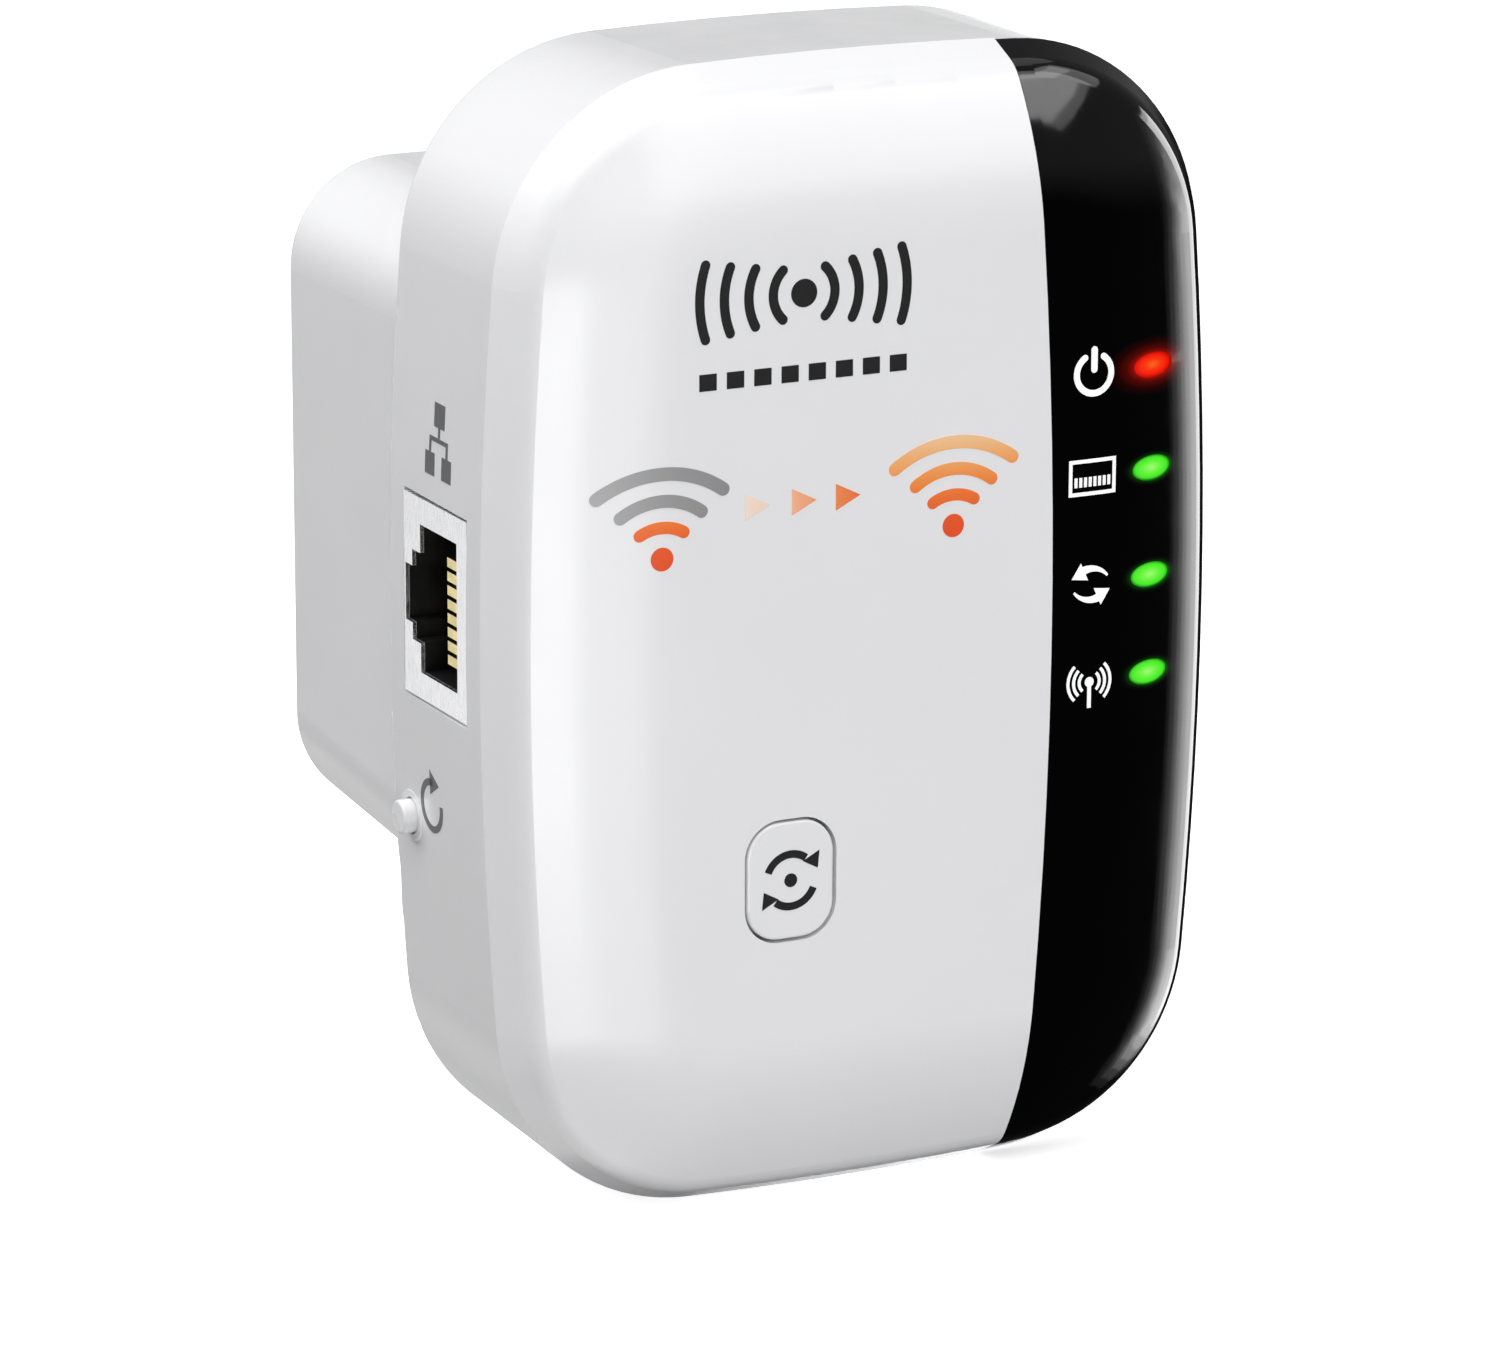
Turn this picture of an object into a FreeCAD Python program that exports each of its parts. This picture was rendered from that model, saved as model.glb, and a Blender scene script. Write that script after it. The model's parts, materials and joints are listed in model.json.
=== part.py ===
import FreeCAD, Part
import math
import os

# Plug-in wifi range extender. Lengths are in millimetres.
# Design axes: X to the right seen from the front, Y from the front face (Y = 0) to the wall, Z up.
# Design height 0 is the middle of the body. Exported pieces are shifted so that the origin is the
# middle of the wall face, between the plug blades.

V = FreeCAD.Vector

# ---- driving dimensions ----
BODY = dict(half_w=31.25, half_h=45.25, corner=17.0, side_bow=1.15, end_bow=0.25, z=0.0)
BUMP = dict(half_w=29.85, half_h=26.9, corner=8.6, side_bow=0.1, end_bow=0.1, z=4.9)
BODY_DEPTH = 24.7
TOTAL_DEPTH = 46.5
WALL = 1.8
COVER_WALL = 2.2
REAR_DRAFT = 0.3
REAR_EDGE = 0.9
BUMP_FALL = 4.5
BUMP_EDGE = 0.8
BUMP_WALL = 2.4

# front cover: flat middle, a wide roll, a rounded crease and a leaning rim
ROLL_START = 3.3
ROLL_RADIUS = 26.3
ROLL_ANGLE = 25.0
CREASE_RADIUS = 3.0
RIM_ANGLE = 63.0

# black panel: its edge is an arc that bulges to the right
SPLIT_APEX_X = 14.75
SPLIT_RADIUS = 408.0
PANEL_SKIN = 1.2
PANEL_SINK = 0.1
PANEL_GAP = 0.1
PANEL_OVERHANG = 0.4

# windows and their light guides
WINDOW_X = 23.9
WINDOW_Z = (19.3, 11.1, 2.5, -5.4)
WINDOW_MIDDLE_Z = 7.0
WINDOW_W = 3.9
WINDOW_H = 2.0
GUIDES = ("power", "lan", "sync", "signal")

BAFFLE_W = 5.0
BAFFLE_H = 33.0
LED_TOP_Y = 20.2

# pairing button on the front
BUTTON_X = -7.88
BUTTON_Z = -18.15
BUTTON_W = 7.9
BUTTON_H = 9.9
BUTTON_CORNER = 3.0
BUTTON_GAP = 0.25
BUTTON_RIM = 0.8
BUTTON_FLANGE_T = 1.0

# network jack on the left side
JACK_FACE_X = -31.0
JACK_DEPTH = 19.0
JACK_Y = (9.0, 20.9)
JACK_Z = (-5.3, 10.7)
PORT_Y = (10.95, 17.75)
PORT_W = 11.7
PORT_DEEP = 15.0
LATCH_STEPS = ((7.1, 19.3), (4.45, 20.6))
CONTACT_COUNT = 8
CONTACT_PITCH = 1.1
CONTACT_T = 0.35
CONTACT_W = 0.76
CONTACT_RISE = 2.6
SHIELD_T = 0.3
JACK_SKIN = 0.25
JACK_GAP = 0.2

# reset button on the left side
RESET_Y = 20.6
RESET_Z = -15.5
RESET_R = 1.35
RESET_PROUD = 1.1
RESET_GAP = 0.15
RESET_BOSS_R = 2.1
RESET_BOSS_H = 0.15

# boards
BOARD_Y = (21.0, 22.6)
BOARD_HALF_W = 27.5
BOARD_HALF_H = 41.0
POWER_Y = (40.4, 42.0)
POWER_HALF_W = 25.0
POWER_HALF_H = 22.4
POWER_CORNER = 6.0

# plug
PLUG_Z = BUMP["z"]
BLADE_PITCH = 12.7
BLADE_T = 1.5
BLADE_LONG = 16.5
BLADE_HEIGHTS = (("neutral", -1, 7.94), ("live", 1, 6.35))
BASE_Y = 44.0
BLADE_ROOT_Y = 43.2
BLADE_HOLE_Y = 11.9
BLADE_HOLE_R = 1.6
CLIP_T = 0.8
CLIP_W = 4.0
LEDGE = 0.8

# posts and screws
BOARD_POST_R = 3.0
BOARD_POSTS = ((-22.4, 22.7), (22.4, 22.7), (-16.0, -15.6), (16.0, -15.6))
POST_FRONT_Y = 22.65
POST_RIB = 7.0
SIDE_POST_R = 2.6
SIDE_POST_X = (-24.6, 24.6)
SCREW_R = 0.95
HEAD_R = 1.9
HEAD_H = 1.2

# switches behind the buttons
SWITCH_W = 6.0
SWITCH_Y = 17.5
PLUNGER_Y = 12.4

# lip and hooks that hold the front cover
LIP_GAP = 0.15
HOOK_Z = 14.0
HOOK_X = 6.0
HOOK_REACH = 0.45
HOOK_LONG = 5.0

# vents, link header and sheet
VENT_COUNT = 9
VENT_W = 1.4
VENT_PITCH = 3.0
VENT_Y = (10.5, 19.5)
LINK_X = 2.0
LINK_Z = -16.0
SHEET_Y = 24.0
SHEET_Z = 7.0
SHEET_W = 37.0
SHEET_H = 38.0

ORIGIN = V(0, TOTAL_DEPTH, PLUG_Z)


# ---- small helpers ----
def save(name, shape):
    """Writes one piece, moved so that the middle of the wall face is the origin."""
    moved = shape.copy()
    moved.translate(ORIGIN * -1)
    moved.exportStep("parts/%s.step" % name)
    print("%-24s %9.1f mm3 %s %d" % (name, moved.Volume, moved.isValid(), len(moved.Solids)))


def box(x, y, z):
    """Box between pairs of limits on the three axes."""
    return Part.makeBox(x[1] - x[0], y[1] - y[0], z[1] - z[0], V(x[0], y[0], z[0]))


def block(x, z, w, h, y0, y1):
    """Box centred on (x, z), w wide and h high, from depth y0 to y1."""
    return box((x - w / 2, x + w / 2), (y0, y1), (z - h / 2, z + h / 2))


def rod(x, z, r, y0, y1):
    """Cylinder along Y."""
    return Part.makeCylinder(r, y1 - y0, V(x, y0, z), V(0, 1, 0))


def rod_x(y, z, r, x0, x1):
    """Cylinder along X."""
    return Part.makeCylinder(r, x1 - x0, V(x0, y, z), V(1, 0, 0))


def rounded(x, z, w, h, r, y0, y1):
    """Block with its four long edges, those along Y, rounded."""
    solid = block(x, z, w, h, y0, y1)
    edges = [e for e in solid.Edges if abs(e.tangentAt(e.FirstParameter).y) > 0.9]
    return solid.makeFillet(r, edges)


def oval(x, z, w, h, y0, y1):
    """Elliptical rod along Y, w wide and h high, with w the longer axis."""
    ellipse = Part.Ellipse(V(x + w / 2, y0, z), V(x, y0, z + h / 2), V(x, y0, z))
    return Part.Face(Part.Wire([ellipse.toShape()])).extrude(V(0, y1 - y0, 0))


def joined(shapes):
    """One solid from pieces that touch or overlap."""
    return shapes[0].multiFuse(shapes[1:]).removeSplitter()


def group(shapes):
    """Separate solids kept in one piece file."""
    return Part.makeCompound(shapes)


# ---- the bowed rounded outline, as a family of offsets ----
def arc_data(family):
    """Corner centre, the two bow radii and the two angles where the bows meet the corners."""
    cx = family["half_w"] - family["corner"] - family["side_bow"]
    cz = family["half_h"] - family["corner"] - family["end_bow"]
    side = (cz ** 2 + family["side_bow"] ** 2) / (2 * family["side_bow"])
    end = (cx ** 2 + family["end_bow"] ** 2) / (2 * family["end_bow"])
    return cx, cz, side, end, math.degrees(math.asin(cz / side)), math.degrees(math.asin(cx / end))


def turned(profile, centre_x, centre_z, start, first, last):
    """Profile face (x is the distance outwards, y the depth) swept round a centre between two angles."""
    face = profile.copy()
    face.translate(V(centre_x + start, 0, centre_z))
    axis = V(0, -1, 0)
    centre = V(centre_x, 0, centre_z)
    face.rotate(centre, axis, first)
    return face.revolve(centre, axis, last - first)


def core(family, y0, y1):
    """The prism inside the corner centres."""
    cx, cz, _, _, _, _ = arc_data(family)
    side_x = cx + family["side_bow"]
    end_z = cz + family["end_bow"]
    mid = family["z"]
    points = [V(cx, y0, mid - cz), V(side_x, y0, mid), V(cx, y0, mid + cz), V(0, y0, mid + end_z),
              V(-cx, y0, mid + cz), V(-side_x, y0, mid), V(-cx, y0, mid - cz), V(0, y0, mid - end_z)]
    edges = []
    for i in range(0, 8, 2):
        edges.append(Part.Arc(points[i], points[i + 1], points[(i + 2) % 8]).toShape())
    return Part.Face(Part.Wire(edges)).extrude(V(0, y1 - y0, 0))


def body_of(family, profile, y0, y1):
    """Solid whose cross-section through any point of the outline is the profile face."""
    cx, cz, side, end, lean, tip = arc_data(family)
    mid = family["z"]
    side_x = cx + family["side_bow"] - side
    end_z = cz + family["end_bow"] - end
    parts = [core(family, y0, y1)]
    parts.append(turned(profile, side_x, mid, side, -lean, lean))
    parts.append(turned(profile, -side_x, mid, side, 180 - lean, 180 + lean))
    parts.append(turned(profile, 0, mid + end_z, end, 90 - tip, 90 + tip))
    parts.append(turned(profile, 0, mid - end_z, end, 270 - tip, 270 + tip))
    for quarter, (sx, sz) in enumerate(((1, 1), (-1, 1), (-1, -1), (1, -1))):
        before, after = (lean, tip) if quarter % 2 == 0 else (tip, lean)
        parts.append(turned(profile, sx * cx, mid + sz * cz, 0,
                            90 * quarter + before, 90 * quarter + 90 - after))
    return joined(parts)


def outline_face(points):
    """Face from a list of points; an entry ('arc', through, end) makes a round stretch."""
    edges = []
    here = points[0]
    for entry in points[1:] + [points[0]]:
        if isinstance(entry, tuple):
            edges.append(Part.Arc(here, entry[1], entry[2]).toShape())
            here = entry[2]
        else:
            if here.distanceToPoint(entry) > 1e-7:
                edges.append(Part.LineSegment(here, entry).toShape())
            here = entry
    return Part.Face(Part.Wire(edges))


def on_arc(centre, radius, angle):
    """Point on an arc whose tangent has turned through angle from the +X direction."""
    a = math.radians(angle)
    return V(centre.x + radius * math.sin(a), centre.y - radius * math.cos(a), 0)


CORNER = BODY["corner"]
ROLL_CENTRE = V(ROLL_START, ROLL_RADIUS, 0)
CREASE_IN = on_arc(ROLL_CENTRE, ROLL_RADIUS, ROLL_ANGLE)
CREASE_CENTRE = CREASE_IN - (on_arc(V(0, 0, 0), CREASE_RADIUS, ROLL_ANGLE))
RIM_TOP = on_arc(CREASE_CENTRE, CREASE_RADIUS, RIM_ANGLE)
SEAM_Y = RIM_TOP.y + (CORNER - RIM_TOP.x) * math.tan(math.radians(RIM_ANGLE))


def pillow(depth):
    """The front cover's outer form, offset inwards by depth, back to the seam."""
    roll = ROLL_RADIUS - depth
    crease = CREASE_RADIUS - depth
    start = on_arc(ROLL_CENTRE, roll, 0)
    bend_in = on_arc(CREASE_CENTRE, crease, ROLL_ANGLE)
    bend_out = on_arc(CREASE_CENTRE, crease, RIM_ANGLE)
    rim_x = bend_out.x + (SEAM_Y - bend_out.y) / math.tan(math.radians(RIM_ANGLE))
    middle = (ROLL_ANGLE + RIM_ANGLE) / 2
    face = outline_face([
        V(0, start.y, 0), start,
        ("arc", on_arc(ROLL_CENTRE, roll, ROLL_ANGLE / 2), bend_in),
        ("arc", on_arc(CREASE_CENTRE, crease, middle), bend_out),
        V(rim_x, SEAM_Y, 0), V(0, SEAM_Y, 0)])
    return body_of(BODY, face, start.y, SEAM_Y)


def tub(family, inset, y0, y1, draft, edge):
    """Straight-sided form with a little draft and a rounded rear edge."""
    wide = family["corner"] - inset
    far = wide - draft
    centre = V(far - edge, y1 - edge, 0)
    bend = V(centre.x + edge * math.sin(math.radians(45)), centre.y + edge * math.sin(math.radians(45)), 0)
    face = outline_face([
        V(0, y0, 0), V(wide, y0, 0), V(far, y1 - edge, 0),
        ("arc", bend, V(far - edge, y1, 0)), V(0, y1, 0)])
    return body_of(family, face, y0, y1)


def plain(family, inset, y0, y1):
    """Straight-sided form with square edges."""
    wide = family["corner"] - inset
    face = outline_face([V(0, y0, 0), V(wide, y0, 0), V(wide, y1, 0), V(0, y1, 0)])
    return body_of(family, face, y0, y1)


def right_of_split(gap):
    """Everything to the right of the black panel's edge."""
    far = 60.0
    centre_x = SPLIT_APEX_X - SPLIT_RADIUS
    barrel = Part.makeCylinder(SPLIT_RADIUS + gap, 60, V(centre_x, -5, 0), V(0, 1, 0))
    return box((0, far), (-4, 50), (-far, far)).cut(barrel)


# ---- front: cover, panel, guides ----
def hook_places():
    """Middle of each hook's outer end, and the way it points, on the lip's four sides."""
    side_x = BODY["half_w"] - WALL - LIP_GAP
    end_z = BODY["half_h"] - WALL - LIP_GAP
    places = [(s * side_x, z, s, 0) for s in (-1, 1) for z in (-HOOK_Z, HOOK_Z)]
    return places + [(x, s * end_z, 0, s) for s in (-1, 1) for x in (-HOOK_X, HOOK_X)]


def snap_hooks(grow):
    """Small hooks on the lip; grow enlarges them into the pockets they snap into."""
    hooks = []
    depth = (SEAM_Y + 1.2 - grow, SEAM_Y + 2.2 + grow)
    reach = HOOK_REACH + grow
    half = HOOK_LONG / 2 + grow
    for x, z, way_x, way_z in hook_places():
        if way_x:
            ends = sorted((x - way_x * 0.9, x + way_x * reach))
            hooks.append(box(ends, depth, (z - half, z + half)))
        else:
            ends = sorted((z - way_z * 0.9, z + way_z * reach))
            hooks.append(box((x - half, x + half), depth, ends))
    return hooks


def front_lip():
    """Rim that enters the rear shell, with its hooks."""
    inset = WALL + LIP_GAP
    ring = plain(BODY, inset, SEAM_Y - 1.6, SEAM_Y + 2.6)
    ring = ring.cut(plain(BODY, inset + 1.0, SEAM_Y - 3, SEAM_Y + 4))
    return joined([ring] + snap_hooks(0))


def front_shapes():
    """The white cover and the black panel let into it."""
    outer = pillow(0)
    panel = pillow(PANEL_SINK)
    panel.translate(V(PANEL_OVERHANG, 0, 0))
    panel = panel.cut(pillow(PANEL_SKIN)).common(right_of_split(PANEL_GAP))
    recess = outer.cut(pillow(PANEL_SKIN)).common(right_of_split(0))
    cover = outer.cut(pillow(COVER_WALL)).fuse(front_lip()).cut(recess).removeSplitter()
    return cover, panel


def cut_windows(shape):
    for z in WINDOW_Z:
        shape = shape.cut(oval(WINDOW_X, z, WINDOW_W, WINDOW_H, -2, 8))
    return shape


def make_front():
    cover, panel = front_shapes()
    cover = cut_windows(cover)
    hole = rounded(BUTTON_X, BUTTON_Z, BUTTON_W, BUTTON_H, BUTTON_CORNER, -2, 8)
    cover = cover.cut(hole)
    middle = WINDOW_MIDDLE_Z
    seat = block(WINDOW_X, middle, BAFFLE_W + 1.6, BAFFLE_H + 1.6, 3.0, 7.0)
    seat = seat.cut(block(WINDOW_X, middle, BAFFLE_W + 0.2, BAFFLE_H + 0.2, 2.0, 8.0))
    ribs_zone = pillow(COVER_WALL - 0.3).fuse(plain(BODY, 3.0, SEAM_Y, SEAM_Y + 2))
    cover = cover.fuse(seat.common(ribs_zone)).removeSplitter()
    save("front_cover", cover)
    save("black_panel", cut_windows(panel))


def make_light_guides():
    """A clear rod behind each window, and the dark block that keeps their light apart."""
    skin = pillow(PANEL_SINK).fuse(plain(BODY, 3.0, SEAM_Y, BOARD_Y[0]))
    baffle = block(WINDOW_X, WINDOW_MIDDLE_Z, BAFFLE_W, BAFFLE_H, 4.4, 19.4)
    for z, label in zip(WINDOW_Z, GUIDES):
        guide = oval(WINDOW_X, z, WINDOW_W - 0.1, WINDOW_H - 0.1, -2, LED_TOP_Y - 0.2)
        save("%s_light_guide" % label, guide.common(skin))
        baffle = baffle.cut(oval(WINDOW_X, z, WINDOW_W + 0.1, WINDOW_H + 0.1, 0, 21))
    save("light_baffle", baffle)
    leds = [block(WINDOW_X, z, 1.6, 1.6, LED_TOP_Y, BOARD_Y[0]) for z in WINDOW_Z]
    save("power_led", leds[0])
    save("status_leds", group(leds[1:]))


# ---- rear shell and plug base ----
def bump_posts():
    """Ribbed corner posts that carry both boards, and side posts that take the plug base's screws."""
    posts = [rod(x, z, BOARD_POST_R, POST_FRONT_Y, POWER_Y[0]) for x, z in BOARD_POSTS]
    for x, z in BOARD_POSTS:
        ends = sorted((z, z + math.copysign(POST_RIB, z)))
        posts.append(box((x - 0.8, x + 0.8), (POST_FRONT_Y, POWER_Y[0]), ends))
    posts += [rod(x, PLUG_Z, SIDE_POST_R, 33.0, BASE_Y) for x in SIDE_POST_X]
    return posts


def screw_holes():
    holes = []
    for x, z in BOARD_POSTS:
        holes.append(rod(x, z, SCREW_R + 0.03, POST_FRONT_Y - 1, POST_FRONT_Y + 7))
        holes.append(rod(x, z, SCREW_R + 0.03, POWER_Y[0] - 6, POWER_Y[0] + 1))
    holes += [rod(x, PLUG_Z, SCREW_R + 0.03, BASE_Y - 7, BASE_Y + 1) for x in SIDE_POST_X]
    return holes


def vent_slots():
    """Row of narrow slots through the underside of the body."""
    slots = []
    for index in range(VENT_COUNT):
        x = (index - (VENT_COUNT - 1) / 2) * VENT_PITCH
        slots.append(box((x - VENT_W / 2, x + VENT_W / 2), VENT_Y, (-50, -38)))
    return slots


def bump_form(inset):
    """The deep rear block: its underside falls towards the body, its long and rear edges are rounded."""
    low = BUMP["z"] - BUMP["half_h"] + inset
    high = BUMP["z"] + BUMP["half_h"] - inset
    half = BUMP["half_w"] - inset
    y0 = BODY_DEPTH - 1
    fall = (TOTAL_DEPTH - y0) * math.tan(math.radians(BUMP_FALL))
    corners = ((y0, low - fall), (TOTAL_DEPTH, low), (TOTAL_DEPTH, high), (y0, high))
    points = [V(-half, y, z) for y, z in corners]
    solid = Part.Face(Part.makePolygon(points + points[:1])).extrude(V(2 * half, 0, 0))
    solid = solid.makeFillet(BUMP["corner"] - inset, [e for e in solid.Edges if e.BoundBox.YLength > 1])
    return solid.makeFillet(BUMP_EDGE, [e for e in solid.Edges if e.BoundBox.YMin > TOTAL_DEPTH - 0.01])


def make_rear_shell():
    shell = tub(BODY, 0, SEAM_Y, BODY_DEPTH, REAR_DRAFT, REAR_EDGE)
    shell = shell.fuse(bump_form(0))
    shell = shell.cut(tub(BODY, WALL, SEAM_Y - 0.5, BODY_DEPTH - WALL, REAR_DRAFT, 0.6))
    room = plain(BUMP, 1.0, 20, TOTAL_DEPTH - 1)
    posts = [p.common(room) for p in bump_posts()]
    shell = shell.cut(plain(BUMP, BUMP_WALL + LEDGE, BODY_DEPTH - 3, TOTAL_DEPTH + 1))
    shell = shell.cut(plain(BUMP, BUMP_WALL, BASE_Y, TOTAL_DEPTH + 1))
    shell = joined([shell] + posts)
    boss_x = reset_surface() - RESET_BOSS_H
    boss = rod_x(RESET_Y, RESET_Z, RESET_BOSS_R, boss_x, boss_x + 1.5)
    boss = boss.makeFillet(RESET_BOSS_H - 0.05, [e for e in boss.Edges if e.BoundBox.XMax < boss_x + 0.01])
    shell = shell.fuse(boss).removeSplitter()
    tools = screw_holes() + vent_slots() + snap_hooks(0.12)
    tools.append(rod_x(RESET_Y, RESET_Z, RESET_R + RESET_GAP, -34, -24))
    tools.append(box((-34, -27), (JACK_Y[0] - JACK_GAP, JACK_Y[1] + JACK_GAP),
                     (JACK_Z[0] - JACK_GAP, JACK_Z[1] + JACK_GAP)))
    save("rear_shell", shell.cut(tools))


def reset_surface():
    """X of the left wall's outer face at the reset button."""
    bow = BODY["side_bow"] * (RESET_Z / arc_data(BODY)[1]) ** 2
    lean = REAR_DRAFT * (RESET_Y - SEAM_Y) / (BODY_DEPTH - REAR_EDGE - SEAM_Y)
    return -BODY["half_w"] + bow + lean


def blade(x, high):
    """Flat blade with a bevelled tip and the usual hole near it."""
    solid = block(x, PLUG_Z, BLADE_T, high, BLADE_ROOT_Y, TOTAL_DEPTH + BLADE_LONG)
    tip = [e for e in solid.Edges if e.BoundBox.YMin > TOTAL_DEPTH + 1]
    solid = solid.makeChamfer(0.45, tip)
    return solid.cut(rod_x(TOTAL_DEPTH + BLADE_HOLE_Y, PLUG_Z, BLADE_HOLE_R, x - 2, x + 2))


def make_plug():
    base = plain(BUMP, BUMP_WALL + 0.1, BASE_Y, TOTAL_DEPTH)
    base = base.fuse(rounded(0, PLUG_Z, 22, 13, 3, POWER_Y[1] + 0.6, BASE_Y + 0.5)).removeSplitter()
    clips = []
    for label, side, high in BLADE_HEIGHTS:
        x = side * BLADE_PITCH / 2
        base = base.cut(block(x, PLUG_Z, BLADE_T, high, BLADE_ROOT_Y, TOTAL_DEPTH + 1))
        base = base.cut(block(x, PLUG_Z, CLIP_T, CLIP_W, POWER_Y[0], BLADE_ROOT_Y))
        clips.append(block(x, PLUG_Z, CLIP_T, CLIP_W, POWER_Y[0], BLADE_ROOT_Y))
        save("blade_%s" % label, blade(x, high))
    for x in SIDE_POST_X:
        base = base.cut(rod(x, PLUG_Z, SCREW_R + 0.15, BASE_Y - 1, TOTAL_DEPTH + 1))
        base = base.cut(rod(x, PLUG_Z, HEAD_R + 0.15, TOTAL_DEPTH - HEAD_H - 0.1, TOTAL_DEPTH + 1))
    save("plug_base", base)
    save("blade_clips", group(clips))


# ---- screws ----
def screw(x, z, head_y, toward, long):
    """Pan-head screw with a cross recess; toward is the way its shank points along Y."""
    head_far = head_y - toward * HEAD_H
    head = rod(x, z, HEAD_R, min(head_y, head_far), max(head_y, head_far))
    edge = [e for e in head.Edges
            if abs(e.BoundBox.YMax - head_far) < 1e-6 and abs(e.BoundBox.YMin - head_far) < 1e-6]
    head = head.makeFillet(0.4, edge)
    tip = head_y + toward * long
    shank = rod(x, z, SCREW_R, min(head_y, tip), max(head_y, tip))
    solid = head.fuse(shank)
    low, high = sorted((head_far - toward, head_far + toward * 0.7))
    solid = solid.cut(block(x, z, 2.4, 0.5, low, high))
    return solid.cut(block(x, z, 0.5, 2.4, low, high)).removeSplitter()


def make_screws():
    board = [screw(x, z, BOARD_Y[0], 1, 7.5) for x, z in BOARD_POSTS]
    power = [screw(x, z, POWER_Y[1], -1, 6.5) for x, z in BOARD_POSTS]
    base = [screw(x, PLUG_Z, TOTAL_DEPTH - HEAD_H - 0.1, -1, 6.0) for x in SIDE_POST_X]
    save("board_screws", group(board))
    save("power_board_screws", group(power))
    save("base_screws", group(base))


# ---- buttons and their switches ----
def make_pairing():
    cap = rounded(BUTTON_X, BUTTON_Z, BUTTON_W - 2 * BUTTON_GAP, BUTTON_H - 2 * BUTTON_GAP,
                  BUTTON_CORNER - BUTTON_GAP, 0, COVER_WALL + 0.3)
    front = [e for e in cap.Edges if e.BoundBox.YMax < 0.01]
    cap = cap.makeFillet(0.2, front)
    flange = rounded(BUTTON_X, BUTTON_Z, BUTTON_W + 2 * BUTTON_RIM, BUTTON_H + 2 * BUTTON_RIM,
                     BUTTON_CORNER + BUTTON_RIM, COVER_WALL + 0.1, COVER_WALL + 0.1 + BUTTON_FLANGE_T)
    stem = rod(BUTTON_X, BUTTON_Z, 2.0, COVER_WALL + 1, PLUNGER_Y)
    ribs = [block(BUTTON_X, BUTTON_Z, 6.0, 0.9, COVER_WALL + 1, PLUNGER_Y - 3),
            block(BUTTON_X, BUTTON_Z, 0.9, 6.0, COVER_WALL + 1, PLUNGER_Y - 3)]
    save("pairing_button", joined([cap, flange, stem] + ribs))
    body = block(BUTTON_X, BUTTON_Z, SWITCH_W, SWITCH_W, SWITCH_Y, BOARD_Y[0])
    save("pairing_switch_body", body.cut(rod(BUTTON_X, BUTTON_Z, 1.9, SWITCH_Y - 1, BOARD_Y[0] - 0.8)))
    cover = block(BUTTON_X, BUTTON_Z, SWITCH_W, SWITCH_W, SWITCH_Y - 0.3, SWITCH_Y)
    save("pairing_switch_cover", cover.cut(rod(BUTTON_X, BUTTON_Z, 1.85, SWITCH_Y - 1, SWITCH_Y + 1)))
    save("pairing_plunger", rod(BUTTON_X, BUTTON_Z, 1.7, PLUNGER_Y + 0.05, BOARD_Y[0] - 1.4))


def make_reset():
    wall_in = reset_surface() + WALL
    face = reset_surface() - RESET_BOSS_H - RESET_PROUD
    knob = rod_x(RESET_Y, RESET_Z, RESET_R, face, wall_in + 0.3)
    edge = [e for e in knob.Edges if e.BoundBox.XMax < face + 0.01]
    knob = knob.makeFillet(0.25, edge)
    flange = rod_x(RESET_Y, RESET_Z, RESET_R + 0.6, wall_in + 0.15, wall_in + 0.8)
    save("reset_button", knob.fuse(flange).removeSplitter())
    start = wall_in + 0.85
    body_x = start + 1.6
    body = box((body_x, body_x + 3.6), (RESET_Y - 1.7, RESET_Y + 1.7), (RESET_Z - 3, RESET_Z + 3))
    save("reset_switch_body", body.cut(rod_x(RESET_Y, RESET_Z, 0.9, body_x - 1, body_x + 2.4)))
    cover = box((body_x - 0.25, body_x), (RESET_Y - 1.7, RESET_Y + 1.7), (RESET_Z - 3, RESET_Z + 3))
    save("reset_switch_cover", cover.cut(rod_x(RESET_Y, RESET_Z, 0.85, body_x - 1, body_x + 1)))
    save("reset_plunger", rod_x(RESET_Y, RESET_Z, 0.75, start, body_x + 1.8))
    return body_x


# ---- network jack ----
def port_space(grow):
    """The plug-shaped opening: a main slot and two steps for the plug's latch."""
    middle = (JACK_Z[0] + JACK_Z[1]) / 2
    x = (JACK_FACE_X - 2, JACK_FACE_X + PORT_DEEP)
    y0 = PORT_Y[0] - grow
    half = PORT_W / 2 + grow
    space = box(x, (y0, PORT_Y[1] + grow), (middle - half, middle + half))
    for wide, far in LATCH_STEPS:
        half = wide / 2 + grow
        space = space.fuse(box(x, (y0, far + grow), (middle - half, middle + half)))
    return space.removeSplitter()


def make_jack():
    """Sheet-metal shield round a black housing, with the contacts along the port's front wall."""
    start_x = JACK_FACE_X + SHIELD_T
    end_x = JACK_FACE_X + JACK_DEPTH
    y = (JACK_Y[0] + JACK_SKIN, JACK_Y[1])
    z = (JACK_Z[0] + JACK_SKIN, JACK_Z[1] - JACK_SKIN)
    outer = box((JACK_FACE_X, end_x), JACK_Y, JACK_Z)
    inner = box((start_x, end_x + 1), (y[0], y[1] + 1), z)
    save("jack_shield", outer.cut(inner).cut(port_space(0.05)))
    middle = (JACK_Z[0] + JACK_Z[1]) / 2
    places = [middle + (index - (CONTACT_COUNT - 1) / 2) * CONTACT_PITCH for index in range(CONTACT_COUNT)]
    contacts = group([contact(place, 0) for place in places])
    slots = group([contact(place, 0.05) for place in places])
    save("jack_contacts", contacts)
    save("jack_housing", box((start_x, end_x), y, z).cut(port_space(0)).cut(slots))


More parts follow.
